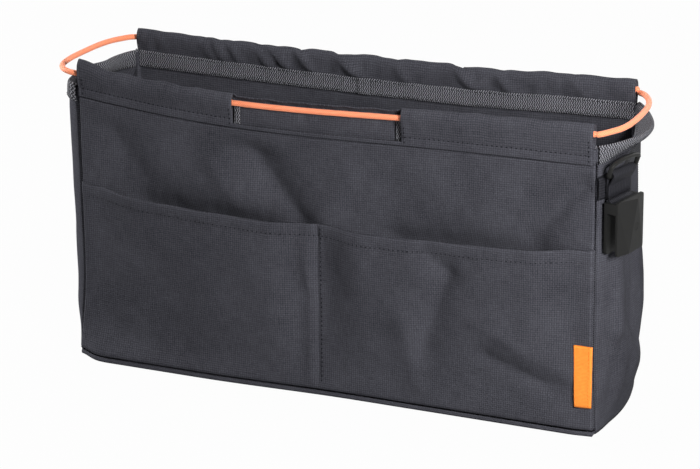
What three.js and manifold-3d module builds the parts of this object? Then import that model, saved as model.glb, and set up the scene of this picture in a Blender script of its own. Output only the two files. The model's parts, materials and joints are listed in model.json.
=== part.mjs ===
// Soft open-top organizer that hangs on a stroller, made as it is sewn: wall panels, base, front pocket,
// rim casings with an elastic cord, binding tape, and a webbing band with a D-ring and a hook clip at one end.
// Millimetres, +Z up, +X along the width, the front faces -Y, the origin is under the middle of the base.
import * as THREE from "three";
import { ConvexGeometry } from "three/addons/geometries/ConvexGeometry.js";
import { mergeVertices } from "three/addons/utils/BufferGeometryUtils.js";
import Module from "manifold-3d";

const wasm = await Module();
wasm.setup();

// Bag: seam to seam sizes, and how far the middle of each long rim hangs below its ends
const bagWidth = 380;
const baseDepth = 100;
const rimDepth = 93.5;
const rimHeight = 204;
const wallThickness = 1.6;
const frontRimSag = 7;
const backRimSag = 2;
const seamGap = 0.3;

// End panels: how far each swells past the side seams at four heights, and how full the swelling is
// (a fullness of 2 is an arc, and 4 is nearly flat between round edges)
const bellyHeight = 40;
const neckDrop = 22;
const rightBaseSwell = 8;
const rightBellySwell = 15.5;
const rightNeckSwell = 11;
const rightRimSwell = 21;
const rightFullness = 2;
const leftBaseSwell = 10;
const leftBellySwell = 19;
const leftNeckSwell = 20;
const leftRimSwell = 14;
const leftFullness = 4;

// Base: a fabric tray whose lip carries the walls, and the stiffener in it
const baseLip = 5;
const baseFabric = 1.6;
const boardThickness = 2.5;
const boardMargin = 1;
const boardCorner = 6;

// Front pocket: one panel sewn at its sides, its bottom and the middle, which gapes between those seams
const pocketHeight = 134;
const pocketDip = 7;
const pocketFabric = 1.2;
const pocketGape = 8;
const pocketSideFlat = 16;
const pocketMiddleFlat = 4;
const pocketMiddleShift = -8;
const pocketRamp = 26;

// Rim casings: folded sleeves for the cord, and the window in the outer layer
const casingFabric = 1;
const casingRise = 17;
const casingOuterDrop = 8;
const casingInnerDrop = 10;
const casingFold = 1.5;
const casingInset = 2;
const windowWidth = 124;
const frontWindowShift = -8;
const backWindowShift = 2;

// Elastic cord
const cordDiameter = 4;
const cordBelowFold = 7;
const cordClearance = 0.9;
const mouthOverhang = 0.5;
const cordSides = 10;
const cordSteps = 24;
const sleeveLength = 14;
const sleeveWall = 0.35;
const sleeveGap = 0.25;
const sleeveFromMiddle = 110;

// Binding tape inside the long rims and over the edges of the end panels
const tapeWidth = 12.5;
const tapeThickness = 1;
const tapeRise = 1.5;
const tapeInset = 6;

// Side label
const labelWidth = 13;
const labelHeight = 44;
const labelBottom = 22;
const labelThickness = 1;
const labelHingeOut = 0.8;

// Webbing, D-ring and hook clip at the right end
const hardwareFromFront = 18.6;
const webbingPly = 1.2;
const bandWidth = 16;
const bandBelowRim = 20;
const strapWidth = 25;
const ringBar = 3.5;
const ringBevel = 0.8;
const ringReach = 12.5;
const ringShoulder = 7;
const ringRise = 1;
const ringPlay = 0.65;
const ringSidePlay = 0.75;
const ringLean = THREE.MathUtils.degToRad(20);
const strapHingeDrop = 1;
const clipBarDrop = 3.6;
const clipBarDiameter = 3.2;
const clipBarPlay = 0.4;
const clipHeight = 38;
const clipTopRise = 1.5;
const clipStandoff = 0.6;
const clipBackLeg = 2.2;
const clipCheek = 2;
const clipCheekMargin = 1;
const clipLegDrop = 4.5;
const clipEdge = 1.6;
const clipRidge = 3.6;
const clipCorner = 2;
const clipDimpleDiameter = 6;
const clipDimpleDepth = 0.5;

const halfWidth = bagWidth / 2;
const cordRadius = cordDiameter / 2;
const casingTop = rimHeight + casingRise;
const cordHeight = casingTop - cordBelowFold;
const tapeTop = rimHeight + tapeRise;
const tapeBottom = tapeTop - tapeWidth;
const bandTop = rimHeight - bandBelowRim;
const bandBottom = bandTop - bandWidth;
const wallBottom = baseLip + seamGap;

const ends = {
  right: {
    side: 1,
    fullness: rightFullness,
    swells: [rightBaseSwell, rightBellySwell, rightNeckSwell, rightRimSwell],
  },
  left: {
    side: -1,
    fullness: leftFullness,
    swells: [leftBaseSwell, leftBellySwell, leftNeckSwell, leftRimSwell],
  },
};

// Shape of the bag
const swellHeights = [0, bellyHeight, rimHeight - neckDrop, rimHeight];
const smooth = (t) => t * t * (3 - 2 * t);
const halfDepthAt = (z) => (baseDepth + ((rimDepth - baseDepth) * z) / rimHeight) / 2;

function swellAt(end, z) {
  const height = THREE.MathUtils.clamp(z, 0, rimHeight);
  const above = swellHeights.findIndex((level, i) => i > 0 && height <= level);
  const low = swellHeights[above - 1];
  const share = smooth((height - low) / (swellHeights[above] - low));
  return THREE.MathUtils.lerp(end.swells[above - 1], end.swells[above], share);
}

// Slope of the end panel in plan: how much it moves out for each millimetre towards the back
function endSlope(end, s, z) {
  const reach = halfDepthAt(z) - wallThickness - seamGap;
  return (-swellAt(end, z) * end.fullness * Math.sign(s) * Math.abs(s) ** (end.fullness - 1)) / reach;
}

// A point on an end panel: s runs from -1 at the front seam to 1 at the back one, outward is off its face
function endPoint(end, s, z, outward) {
  const reach = halfDepthAt(z) - wallThickness - seamGap;
  const slope = endSlope(end, s, z);
  const length = Math.hypot(1, slope);
  const x = halfWidth + swellAt(end, z) * (1 - Math.abs(s) ** end.fullness) + outward / length;
  return new THREE.Vector3(end.side * x, s * reach - (outward * slope) / length, z);
}

// A point on a long side: inward is measured from the wall's outer face
function sagAt(sag, x, z) {
  return sag * (1 - (x / halfWidth) ** 2) * Math.min(1, z / rimHeight) ** 2;
}
function frontPoint(x, inward, z) {
  return new THREE.Vector3(x, inward - halfDepthAt(z), z - sagAt(frontRimSag, x, z));
}
function backPoint(x, inward, z) {
  return new THREE.Vector3(x, halfDepthAt(z) - inward, z - sagAt(backRimSag, x, z));
}

// Solids
function signedVolume(positions, faces) {
  const corner = (i) => new THREE.Vector3().fromArray(positions, 3 * i);
  let volume = 0;
  for (let i = 0; i < faces.length; i += 3) {
    volume += corner(faces[i]).dot(corner(faces[i + 1]).cross(corner(faces[i + 2])));
  }
  return volume / 6;
}

function indexed(positions, faces) {
  const geometry = new THREE.BufferGeometry();
  geometry.setAttribute("position", new THREE.Float32BufferAttribute(positions, 3));
  geometry.setIndex([...faces]);
  return geometry;
}

// A closed solid swept through stations: section is a closed outline of [p, q] pairs,
// and place(station, p, q) gives each point of the skin
function loft(stations, section, place) {
  const count = section.length;
  const positions = stations.flatMap((u) => section.flatMap(([p, q]) => place(u, p, q).toArray()));
  const faces = [];
  for (let i = 0; i + 1 < stations.length; i++) {
    for (let j = 0; j < count; j++) {
      const a = i * count + j;
      const b = i * count + ((j + 1) % count);
      faces.push(a, b, a + count, b, b + count, a + count);
    }
  }
  const outline = section.map(([p, q]) => new THREE.Vector2(p, q));
  const turn = Math.sign(THREE.ShapeUtils.area(outline));
  const last = (stations.length - 1) * count;
  for (const [a, b, c] of THREE.ShapeUtils.triangulateShape(outline, [])) {
    const same = Math.sign(THREE.ShapeUtils.area([outline[a], outline[b], outline[c]])) === turn;
    const [second, third] = same ? [b, c] : [c, b];
    faces.push(a, third, second, last + a, last + second, last + third);
  }
  return indexed(positions, signedVolume(positions, faces) < 0 ? faces.reverse() : faces);
}

function toSolid(geometry) {
  const flat = geometry.index ? geometry.toNonIndexed() : geometry;
  const bare = new THREE.BufferGeometry().setAttribute("position", flat.getAttribute("position"));
  const merged = mergeVertices(bare, 1e-4);
  const vertProperties = merged.getAttribute("position").array;
  const triVerts = new Uint32Array(merged.index.array);
  return new wasm.Manifold(new wasm.Mesh({ numProp: 3, vertProperties, triVerts }));
}
function toGeometry(solid) {
  const mesh = solid.getMesh();
  return indexed(mesh.vertProperties, mesh.triVerts);
}
function join(...geometries) {
  return toGeometry(geometries.map(toSolid).reduce((all, next) => all.add(next)));
}
function cut(geometry, tool) {
  return toGeometry(toSolid(geometry).subtract(toSolid(tool)));
}

const rectangle = (p0, p1, q0, q1) => [[p0, q0], [p1, q0], [p1, q1], [p0, q1]];
const evenly = (from, to, steps) =>
  Array.from({ length: steps + 1 }, (_, i) => THREE.MathUtils.lerp(from, to, i / steps));

// Turns an extrusion so that its outline lies in the X-Z plane, centred on Y
function acrossY(shape, width, curveSegments) {
  const geometry = new THREE.ExtrudeGeometry(shape, { depth: width, bevelEnabled: false, curveSegments });
  return geometry.rotateX(Math.PI / 2).translate(0, width / 2, 0);
}
// Turns an extrusion so that its outline lies in the Y-Z plane and it grows along X
const yzPlane = new THREE.Matrix4().makeBasis(
  new THREE.Vector3(0, 1, 0),
  new THREE.Vector3(0, 0, 1),
  new THREE.Vector3(1, 0, 0),
);

const organizer = new THREE.Group();
function addPiece(parent, name, geometry, look) {
  const mesh = new THREE.Mesh(geometry, new THREE.MeshStandardMaterial(look));
  mesh.name = name;
  parent.add(mesh);
  return mesh;
}

const fabricLook = { color: 0x44444b, roughness: 0.85, metalness: 0 };
const tapeLook = { color: 0x4b4b52, roughness: 0.95, metalness: 0 };
const webbingLook = { color: 0x32323a, roughness: 0.8, metalness: 0 };
const plasticLook = { color: 0x2b2b2c, roughness: 0.45, metalness: 0 };
const cordLook = { color: 0xfa8c64, roughness: 0.7, metalness: 0 };
const labelLook = { color: 0xff8a2b, roughness: 0.6, metalness: 0 };
const boardLook = { color: 0x242426, roughness: 0.6, metalness: 0 };

// Outline of a skin between two offsets from a panel, with a corner at each level
const skinSection = (low, high, levels) => [
  ...levels.map((z) => [high, z]),
  ...levels.map((z) => [low, z]).reverse(),
];

// Long walls
const wallSteps = evenly(-halfWidth, halfWidth, 13);
const wallSection = skinSection(0, wallThickness, [wallBottom, rimHeight - neckDrop, rimHeight]);
addPiece(organizer, "front_panel", loft(wallSteps, wallSection, frontPoint), fabricLook);
addPiece(organizer, "back_panel", loft(wallSteps, wallSection, backPoint), fabricLook);

// End panels, with levels that follow the band and the tape that lie on them
const halfStations = [0.2, 0.35, 0.5, 0.65, 0.8, 0.9, 0.96];
const innerStations = [...halfStations.map((s) => -s).reverse(), 0, ...halfStations];
const bandLevels = evenly(bandBottom, bandTop, 2);
const tapeLevels = evenly(tapeBottom, rimHeight, 3);
const gussetLevels = [
  ...evenly(wallBottom, bandBottom, 6),
  ...bandLevels.slice(1),
  THREE.MathUtils.lerp(bandTop, tapeBottom, 0.5),
  ...tapeLevels,
];

function addGusset(name, end) {
  const place = (s, outward, z) => endPoint(end, s, z, outward);
  const skin = skinSection(-wallThickness, 0, gussetLevels);
  addPiece(organizer, `${name}_gusset`, loft([-1, ...innerStations, 1], skin, place), fabricLook);
  const outside = seamGap + tapeThickness;
  const inside = -wallThickness - seamGap - tapeThickness;
  const fold = rimHeight + seamGap;
  const tape = [
    ...tapeLevels.map((z) => [outside, z]),
    [outside, fold + tapeThickness],
    [inside, fold + tapeThickness],
    ...tapeLevels.map((z) => [inside, z]).reverse(),
    ...tapeLevels.slice(0, -1).map((z) => [inside + tapeThickness, z]),
    [inside + tapeThickness, fold],
    [seamGap, fold],
    ...tapeLevels.slice(0, -1).map((z) => [seamGap, z]).reverse(),
  ];
  addPiece(organizer, `rim_tape_${name}`, loft(innerStations, tape, place), tapeLook);
}
addGusset("left", ends.left);
addGusset("right", ends.right);

// Webbing band across the right end panel
const bandSection = skinSection(seamGap, seamGap + webbingPly, bandLevels);
const band = loft(innerStations, bandSection, (s, outward, z) => endPoint(ends.right, s, z, outward));
addPiece(organizer, "right_band", band, webbingLook);

// Base: the outline of the walls at the floor, drawn in by an inset
function baseOutline(inset) {
  const y = baseDepth / 2 - inset;
  const x = halfWidth - inset;
  const rightEdge = innerStations.map((s) => endPoint(ends.right, s, 0, -inset));
  const leftEdge = innerStations.map((s) => endPoint(ends.left, -s, 0, -inset));
  const corners = (end) => [new THREE.Vector3(end * x, -end * y), new THREE.Vector3(end * x, end * y)];
  const [frontRight, backRight] = corners(1);
  const [backLeft, frontLeft] = corners(-1);
  const points = [frontRight, ...rightEdge, backRight, backLeft, ...leftEdge, frontLeft];
  return new THREE.Shape(points.map((p) => new THREE.Vector2(p.x, p.y)));
}
function slab(shape, bottom, top) {
  const geometry = new THREE.ExtrudeGeometry(shape, { depth: top - bottom, bevelEnabled: false });
  return geometry.translate(0, 0, bottom);
}
const tray = cut(slab(baseOutline(0), 0, baseLip), slab(baseOutline(baseFabric), baseFabric, 2 * baseLip));
addPiece(organizer, "base_panel", tray, fabricLook);

function roundedRectangle(width, height, radius) {
  const x = width / 2 - radius;
  const y = height / 2 - radius;
  const shape = new THREE.Shape();
  shape.absarc(x, y, radius, 0, Math.PI / 2);
  shape.absarc(-x, y, radius, Math.PI / 2, Math.PI);
  shape.absarc(-x, -y, radius, Math.PI, 1.5 * Math.PI);
  shape.absarc(x, -y, radius, 1.5 * Math.PI, 2 * Math.PI);
  return shape;
}
const boardInset = 2 * (baseFabric + boardMargin);
const boardShape = roundedRectangle(bagWidth - boardInset, baseDepth - boardInset, boardCorner);
const boardBottom = baseFabric + seamGap;
const board = new THREE.ExtrudeGeometry(boardShape, {
  depth: boardThickness,
  bevelEnabled: false,
  curveSegments: 4,
});
addPiece(organizer, "base_board", board.translate(0, 0, boardBottom), boardLook);

// Front pocket: it lies on the wall at its seams and gapes at the mouth between them
function pocketOpen(x) {
  const fromSide = halfWidth - Math.abs(x) - pocketSideFlat;
  const fromMiddle = Math.abs(x - pocketMiddleShift) - pocketMiddleFlat;
  return THREE.MathUtils.clamp(Math.min(fromSide, fromMiddle) / pocketRamp, 0, 1);
}
function pocketPoint(x, outward, share) {
  const top = pocketHeight - pocketDip * (1 - (x / halfWidth) ** 2);
  const z = THREE.MathUtils.lerp(wallBottom, top, share);
  const gape = pocketGape * pocketOpen(x) * Math.sin((share * Math.PI) / 2);
  return new THREE.Vector3(x, -halfDepthAt(z) - seamGap - gape - outward, z);
}
const pocketSide = halfWidth - pocketSideFlat;
function pocketHalf(side) {
  const fullFrom = pocketMiddleShift + side * (pocketMiddleFlat + pocketRamp);
  const fullTo = side * (pocketSide - pocketRamp);
  const middleEdge = pocketMiddleShift + side * pocketMiddleFlat;
  return [middleEdge, ...evenly(fullFrom, fullTo, 4), side * pocketSide, side * halfWidth];
}
const pocketSteps = [...pocketHalf(-1).reverse(), pocketMiddleShift, ...pocketHalf(1)];
const pocketSection = skinSection(0, pocketFabric, evenly(0, 1, 5));
const pocket = loft(pocketSteps, pocketSection, pocketPoint);
addPiece(organizer, "front_pocket", pocket, fabricLook);

// Rim casings: two layers that straddle the wall, open round the cord and meet in a fold
const outerLeg = -seamGap - casingFabric;
const innerLeg = wallThickness + seamGap + casingFabric;
const channelMiddle = wallThickness / 2;
const channelHalf = cordRadius + cordClearance;
function casingSection() {
  const tubeHalf = channelHalf + casingFabric;
  const spread = rimHeight + casingFold;
  const bend = (spread + cordHeight) / 2;
  const outline = new THREE.Shape();
  const swing = (half, x, z) => outline.quadraticCurveTo(channelMiddle + half, bend, x, z);
  const over = (half, rise, from, to, clockwise) =>
    outline.absellipse(channelMiddle, cordHeight, half, rise, from, to, clockwise);
  outline.moveTo(outerLeg, rimHeight - casingOuterDrop);
  outline.lineTo(outerLeg, spread);
  swing(-tubeHalf, channelMiddle - tubeHalf, cordHeight);
  over(tubeHalf, cordBelowFold, Math.PI, 0, true);
  swing(tubeHalf, innerLeg, spread);
  outline.lineTo(innerLeg, rimHeight - casingInnerDrop);
  outline.lineTo(innerLeg - casingFabric, rimHeight - casingInnerDrop);
  outline.lineTo(innerLeg - casingFabric, spread);
  swing(channelHalf, channelMiddle + channelHalf, cordHeight);
  over(channelHalf, cordBelowFold - casingFabric, 0, Math.PI, false);
  swing(-channelHalf, outerLeg + casingFabric, spread);
  outline.lineTo(outerLeg + casingFabric, rimHeight - casingOuterDrop);
  const points = outline.getPoints(3).map((p) => [p.x, p.y]);
  const apart = ([x, z], [nextX, nextZ]) => Math.hypot(nextX - x, nextZ - z) > 1e-6;
  return points.filter((p, i) => apart(p, points[(i + 1) % points.length]));
}
const casingEnd = halfWidth - casingInset;
function casing(place, windowShift) {
  const folded = loft(evenly(-casingEnd, casingEnd, 10), casingSection(), place);
  const margin = 2 * (frontRimSag + backRimSag) + casingFabric;
  const opening = rectangle(
    -casingRise,
    channelMiddle + casingFabric / 4,
    rimHeight - casingOuterDrop - margin,
    casingTop + margin,
  );
  const sides = [windowShift - windowWidth / 2, windowShift + windowWidth / 2];
  return cut(folded, loft(sides, opening, place));
}
addPiece(organizer, "front_casing", casing(frontPoint, frontWindowShift), fabricLook);
addPiece(organizer, "back_casing", casing(backPoint, backWindowShift), fabricLook);

// Binding tape along the inside of the long rims
const tapeInner = innerLeg + seamGap;
const tapeSection = rectangle(tapeInner, tapeInner + tapeThickness, tapeBottom, tapeTop);
const tapeEnd = halfWidth - tapeInset;
const tapeSteps = evenly(-tapeEnd, tapeEnd, 12);
addPiece(organizer, "rim_tape_front", loft(tapeSteps, tapeSection, frontPoint), tapeLook);
addPiece(organizer, "rim_tape_back", loft(tapeSteps, tapeSection, backPoint), tapeLook);

// Elastic cord: the two runs in the casings, and the free loops that join them at the ends
const cordShape = new THREE.Shape().absarc(0, 0, cordRadius, 0, 2 * Math.PI);
const cordTube = (extrudePath, steps) =>
  new THREE.ExtrudeGeometry(cordShape, { extrudePath, steps, curveSegments: cordSides });
const mouthX = halfWidth + mouthOverhang;
const runEnd = mouthX - cordRadius - seamGap;
function cordRun(place, sag) {
  const start = place(-runEnd, channelMiddle, cordHeight);
  const finish = place(runEnd, channelMiddle, cordHeight);
  const middle = new THREE.Vector3(0, start.y, start.z - 2 * sag * (runEnd / halfWidth) ** 2);
  return cordTube(new THREE.QuadraticBezierCurve3(start, middle, finish), cordSteps);
}
addPiece(organizer, "cord_front", cordRun(frontPoint, frontRimSag), cordLook);
addPiece(organizer, "cord_back", cordRun(backPoint, backRimSag), cordLook);

// Points of each loop from the front mouth to the back one, chosen by hand:
// millimetres out from the mouths, share of half the distance between the mouths, millimetres of rise
const rightLoopPoints = [
  [0, -1, 0], [2.6, -0.96, 0.3], [6.4, -0.88, 0.8], [10, -0.785, 1.2], [12.4, -0.68, 1.4],
  [14, -0.54, 1.5], [15, -0.36, 1.5], [15.5, -0.14, 1.5], [15.5, 0.08, 1.5], [15, 0.28, 1.5],
  [13.6, 0.46, 1.4], [11.2, 0.63, 1.2], [7.8, 0.79, 0.8], [3.8, 0.925, 0.3], [0, 1, 0],
];
const leftLoopPoints = [
  [0, -1, 0], [4.5, -1.005, 0.5], [9.5, -0.97, 1.1], [13.9, -0.88, 1.5], [16.5, -0.74, 1.7],
  [17.7, -0.56, 1.6], [18, -0.35, 1.4], [17.4, -0.12, 1.2], [16.5, 0.1, 1], [15.5, 0.3, 0.8],
  [14, 0.5, 0.5], [11.6, 0.68, 0.2], [8, 0.83, 0], [4, 0.945, 0], [0, 1, 0],
];
const mouthY = halfDepthAt(cordHeight) - channelMiddle;
function cordLoop(end, points) {
  const route = points.map(
    ([out, across, rise]) =>
      new THREE.Vector3(end.side * (mouthX + out), across * mouthY, cordHeight + rise),
  );
  const dome = (p) => new THREE.SphereGeometry(cordRadius, cordSides, 6).translate(p.x, p.y, p.z);
  const tube = cordTube(new THREE.CatmullRomCurve3(route), cordSteps);
  return join(tube, dome(route[0]), dome(route.at(-1)));
}
addPiece(organizer, "cord_loop_right", cordLoop(ends.right, rightLoopPoints), cordLook);
addPiece(organizer, "cord_loop_left", cordLoop(ends.left, leftLoopPoints), cordLook);

// Sleeve that joins the cord's ends, inside the back casing
const sleeveBore = cordRadius + sleeveGap;
const sleeveProfile = rectangle(sleeveBore, sleeveBore + sleeveWall, -sleeveLength / 2, sleeveLength / 2);
const sleeveOutline = [...sleeveProfile, sleeveProfile[0]].map(([r, y]) => new THREE.Vector2(r, y));
const sleeve = addPiece(organizer, "cord_sleeve", new THREE.LatheGeometry(sleeveOutline, 12), plasticLook);
sleeve.position.copy(backPoint(sleeveFromMiddle, channelMiddle, cordHeight));
sleeve.rotation.z = Math.PI / 2;

// Side label: a folded strip that turns about the side seam
const labelShape = new THREE.Shape();
labelShape.moveTo(0, labelThickness / 2);
labelShape.lineTo(-labelWidth + labelThickness / 2, labelThickness / 2);
labelShape.absarc(-labelWidth + labelThickness / 2, 0, labelThickness / 2, Math.PI / 2, 1.5 * Math.PI);
labelShape.lineTo(0, -labelThickness / 2);
const labelGeometry = new THREE.ExtrudeGeometry(labelShape, {
  depth: labelHeight,
  bevelEnabled: false,
  curveSegments: 4,
});
const labelMiddle = labelBottom + labelHeight / 2;
const labelOut = 2 * seamGap + pocketFabric + labelThickness / 2;
labelGeometry.translate(0, 0, -labelHeight / 2);
const label = addPiece(organizer, "side_label", labelGeometry, labelLook);
label.position.set(halfWidth + labelHingeOut, -halfDepthAt(labelMiddle) - labelOut, labelMiddle);
label.rotation.x = -Math.atan2(baseDepth - rimDepth, 2 * rimHeight);

// Hardware on the band, in a frame whose X points off the right end panel and whose Y runs along it
const hardwareY = hardwareFromFront - halfDepthAt(bandTop);
const ringLoopHole = ringBar / 2 + ringPlay;
const ringLoopRadius = ringLoopHole + webbingPly;
const ringHeight = bandTop + ringRise;
const tabBack = seamGap;
const tabFront = tabBack + 2 * webbingPly;
const ringX = tabBack + ringLoopRadius;
const hingeX = tabBack + webbingPly;
const hingeHeight = bandBottom - strapHingeDrop;
const clipHole = clipBarDiameter / 2 + clipBarPlay;
const clipLoopRadius = clipHole + webbingPly;
const clipBack = clipStandoff + seamGap;
const clipBarX = clipBack + clipBackLeg + seamGap + clipLoopRadius;
const clipBarHeight = hingeHeight - clipBarDrop;
const clipInnerFace = clipBarX + clipLoopRadius + seamGap;
const clipHalfWidth = strapWidth / 2 + clipBarPlay + clipCheek;
const clipTop = hingeHeight + clipTopRise;
const clipBottom = clipTop - clipHeight;

// Webbing tab: two plies on the band, opened at the top into a loop for the bar of the ring
function tabShape() {
  const shape = new THREE.Shape();
  shape.moveTo(tabBack, hingeHeight + webbingPly + seamGap);
  shape.lineTo(tabBack, ringHeight);
  shape.absarc(ringX, ringHeight, ringLoopRadius, Math.PI, -Math.PI / 3, true);
  shape.lineTo(tabFront, ringHeight - 2 * ringLoopRadius);
  shape.lineTo(tabFront, hingeHeight + webbingPly + seamGap);
  shape.holes.push(new THREE.Path().absarc(ringX, ringHeight, ringLoopHole, 0, 2 * Math.PI));
  return shape;
}

// Clip strap: the lower end of the same webbing, about its hinge line, opened round the bar of the clip
function strapShape() {
  const barX = clipBarX - hingeX;
  const shape = new THREE.Shape();
  shape.absarc(0, 0, webbingPly, 0, Math.PI);
  shape.lineTo(barX - clipLoopRadius, -clipBarDrop);
  shape.absarc(barX, -clipBarDrop, clipLoopRadius, Math.PI, 2.5 * Math.PI);
  shape.holes.push(new THREE.Path().absarc(barX, -clipBarDrop, clipHole, 0, 2 * Math.PI));
  return shape;
}

// D-ring: a straight bar closed by a low arch, with rounded edges, about the middle of its bar
function ringGeometry() {
  const innerHalf = strapWidth / 2 + ringSidePlay;
  const arch = (path, half, low, rise) => {
    path.moveTo(half, low);
    path.lineTo(half, ringShoulder);
    path.absellipse(0, ringShoulder, half, rise, 0, Math.PI);
    path.lineTo(-half, low);
    return path;
  };
  const outerRise = ringReach - ringShoulder;
  const shape = arch(new THREE.Shape(), innerHalf + ringBar, -ringBar / 2, outerRise);
  shape.holes.push(arch(new THREE.Path(), innerHalf, ringBar / 2, outerRise - ringBar));
  const geometry = new THREE.ExtrudeGeometry(shape, {
    depth: ringBar - 2 * ringBevel,
    bevelThickness: ringBevel,
    bevelSize: ringBevel,
    bevelOffset: -ringBevel,
    bevelSegments: 1,
    curveSegments: 7,
  });
  return geometry.translate(0, 0, ringBevel - ringBar / 2).applyMatrix4(yzPlane);
}

// Hook clip, about the hinge line of its strap: a back leg, two cheeks with a bar for the strap,
// and a faceted front plate whose ridges run down from a point near its top
function clipGeometry() {
  const top = clipTop - hingeHeight;
  const bottom = clipBottom - hingeHeight;
  const face = clipInnerFace - hingeX;
  const back = clipBack - hingeX;
  const half = clipHalfWidth;
  const middle = (bottom + top) / 2;
  const legHeight = -clipLegDrop - bottom;
  const leg = new THREE.ExtrudeGeometry(roundedRectangle(2 * half, legHeight, clipCorner), {
    depth: clipBackLeg,
    bevelEnabled: false,
    curveSegments: 3,
  });
  leg.applyMatrix4(yzPlane).translate(back, 0, bottom + legHeight / 2);
  const cheekDepth = face + clipEdge - back;
  const cheekTop = top - clipCorner;
  const cheekBottom = -Math.max(clipBarDrop + clipBarDiameter / 2, clipLegDrop + clipCorner) - clipCheekMargin;
  const cheek = (side) =>
    new THREE.BoxGeometry(cheekDepth, clipCheek, cheekTop - cheekBottom).translate(
      back + cheekDepth / 2,
      side * (half - clipCheek / 2),
      (cheekTop + cheekBottom) / 2,
    );
  const bar = new THREE.CylinderGeometry(clipBarDiameter / 2, clipBarDiameter / 2, 2 * half - clipCheek, 12);
  bar.translate(clipBarX - hingeX, 0, -clipBarDrop);
  const rim = roundedRectangle(2 * half, top - bottom, clipCorner).getPoints(3);
  const edge = (x) => rim.map((p) => new THREE.Vector3(x, p.x, p.y + middle));
  const ridges = [
    new THREE.Vector3(face + clipRidge, 0.38 * half, top - clipCorner),
    new THREE.Vector3(face + clipRidge, -0.26 * half, bottom),
    new THREE.Vector3(face + clipEdge + 0.4 * (clipRidge - clipEdge), 0.9 * half, bottom),
  ];
  const plate = new ConvexGeometry([...edge(face), ...edge(face + clipEdge), ...ridges]);
  const dimple = new THREE.CylinderGeometry(clipDimpleDiameter / 2, clipDimpleDiameter / 2, clipRidge, 16);
  const dimpleX = face + 1.5 * clipRidge - clipDimpleDepth;
  dimple.rotateZ(Math.PI / 2).translate(dimpleX, 0.3 * half, middle - clipCorner);
  return cut(join(leg, cheek(-1), cheek(1), bar, plate), dimple);
}

// How far the end panel and its band stand out over the stretch that the hardware lies on
function standOut(frame) {
  const toFrame = frame.matrix.clone().invert();
  const levels = evenly(clipBottom, ringHeight + ringLoopRadius, 24);
  const reach = halfDepthAt(ringHeight);
  const across = evenly(hardwareY - clipHalfWidth, hardwareY + clipHalfWidth, 8).map((y) => y / reach);
  const distances = levels.flatMap((z) =>
    across.map((s) => {
      const banded = z > bandBottom - seamGap && z < bandTop + seamGap;
      return endPoint(ends.right, s, z, banded ? seamGap + webbingPly : 0).applyMatrix4(toFrame).x;
    }),
  );
  return Math.max(...distances);
}

const hardware = new THREE.Group();
organizer.add(hardware);
const hardwareShare = hardwareY / (halfDepthAt(bandTop) - wallThickness - seamGap);
const hardwareFoot = endPoint(ends.right, hardwareShare, bandTop, 0);
hardware.position.set(hardwareFoot.x, hardwareFoot.y, 0);
hardware.rotation.z = -Math.atan(endSlope(ends.right, hardwareShare, bandTop));
hardware.updateMatrix();
hardware.translateX(standOut(hardware));

addPiece(hardware, "right_tab", acrossY(tabShape(), strapWidth, 10), webbingLook);
const ring = addPiece(hardware, "right_ring", ringGeometry(), plasticLook);
ring.position.set(ringX, 0, ringHeight);
ring.rotation.y = ringLean;
const hinge = new THREE.Group();
hinge.position.set(hingeX, 0, hingeHeight);
hardware.add(hinge);
addPiece(hinge, "right_clip_strap", acrossY(strapShape(), strapWidth, 10), webbingLook);
addPiece(hinge, "right_clip", clipGeometry(), plasticLook);

export default organizer;
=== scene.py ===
# Looks of a soft open-top organizer, in the frame of its solids: sewn cloth panels, rim casings with an
# elastic cord, knitted tape, webbing and moulded hardware. Shapes are worked out in millimetres.
import json
import math

import bpy
import numpy as np
from mathutils import Matrix, Vector


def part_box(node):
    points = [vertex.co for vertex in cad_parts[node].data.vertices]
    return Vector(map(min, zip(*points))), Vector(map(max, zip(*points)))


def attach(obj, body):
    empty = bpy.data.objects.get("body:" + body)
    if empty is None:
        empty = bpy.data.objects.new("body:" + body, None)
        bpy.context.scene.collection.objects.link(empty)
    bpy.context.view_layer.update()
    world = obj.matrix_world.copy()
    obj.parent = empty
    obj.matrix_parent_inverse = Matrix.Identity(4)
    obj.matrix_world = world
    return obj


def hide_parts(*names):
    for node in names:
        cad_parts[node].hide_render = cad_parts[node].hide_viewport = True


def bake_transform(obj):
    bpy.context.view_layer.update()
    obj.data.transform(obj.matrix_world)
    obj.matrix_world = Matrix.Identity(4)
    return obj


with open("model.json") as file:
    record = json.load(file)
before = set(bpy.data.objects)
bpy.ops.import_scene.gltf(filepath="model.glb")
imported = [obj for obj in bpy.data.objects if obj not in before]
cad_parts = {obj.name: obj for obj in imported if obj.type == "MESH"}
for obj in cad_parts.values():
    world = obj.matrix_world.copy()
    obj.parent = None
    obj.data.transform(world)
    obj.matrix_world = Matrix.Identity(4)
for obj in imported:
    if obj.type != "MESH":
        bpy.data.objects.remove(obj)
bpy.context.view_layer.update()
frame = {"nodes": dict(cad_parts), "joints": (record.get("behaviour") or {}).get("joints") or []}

MM = 0.001
joints = {joint["name"]: joint for joint in frame["joints"]}


def node_box(name):
    low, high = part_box(name)
    return np.array(low) / MM, np.array(high) / MM


def pivot(joint):
    return np.array(joints[joint]["pos_m"]) / MM


# Bag: sizes of the solids, and the sag of the long rims
wall_thickness = 1.6
seam_gap = 0.3
wall_high = node_box("front_panel")[1]
half_width = wall_high[0]
rim_height = node_box("back_panel")[1][2]
rim_half_depth = wall_thickness - wall_high[1]
base_half_depth = node_box("base_panel")[1][1]
front_sag = 7.0
back_sag = 2.0
cloth_ply = 1.1

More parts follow.
